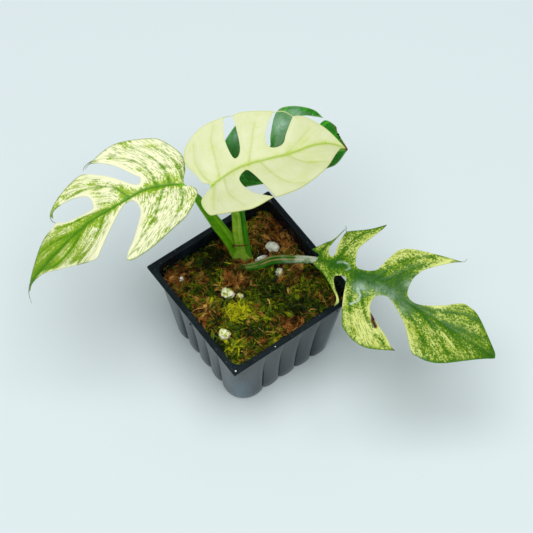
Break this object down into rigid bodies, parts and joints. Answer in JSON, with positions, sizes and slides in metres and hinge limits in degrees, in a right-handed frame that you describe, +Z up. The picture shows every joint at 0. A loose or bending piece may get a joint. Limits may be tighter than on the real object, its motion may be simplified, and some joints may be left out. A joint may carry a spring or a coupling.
{
  "type": "potted mini monstera plant",
  "caption": "Small variegated aroid house plant with cut leaves on long stalks, standing in moss in a square fluted nursery pot.",
  "frame": {"origin": "middle of the pot's flat underside", "axes": "+Z up; X and Y along the square pot's sides"},
  "size_m": [0.2134, 0.2141, 0.1608],
  "materials": {
    "pot_plastic": "thin moulded black polypropylene, satin, a little dusty",
    "moss_and_peat": "moist green and orange-brown moss on dark peat",
    "leaf_stalk": "fresh green stalk, softly glossy, lengthwise grooves",
    "flecked_leaf": "cream leaf skin flecked and veined with green, waxy satin",
    "cream_leaf": "cream leaf skin with a yellow-green midrib, waxy satin",
    "green_leaf": "glossy dark green leaf skin",
    "mottled_leaf": "chartreuse leaf skin mottled with dark green, white mineral spots",
    "perlite": "white porous expanded rock crumb"
  },
  "bodies": {
    "root": {"pot": "pot_plastic", "growing_medium": "moss_and_peat", "stem": "leaf_stalk", "stalk_left": "leaf_stalk", "stalk_cream": "leaf_stalk", "stalk_green": "leaf_stalk", "stalk_right": "leaf_stalk", "leaf_left": "flecked_leaf", "leaf_cream": "cream_leaf", "leaf_green": "green_leaf", "leaf_right": "mottled_leaf", "perlite_back": "perlite", "perlite_slab": "perlite", "perlite_curl": "perlite", "perlite_left_small": "perlite", "perlite_middle": "perlite", "perlite_middle_small": "perlite", "perlite_front": "perlite"}
  },
  "joints": []
}
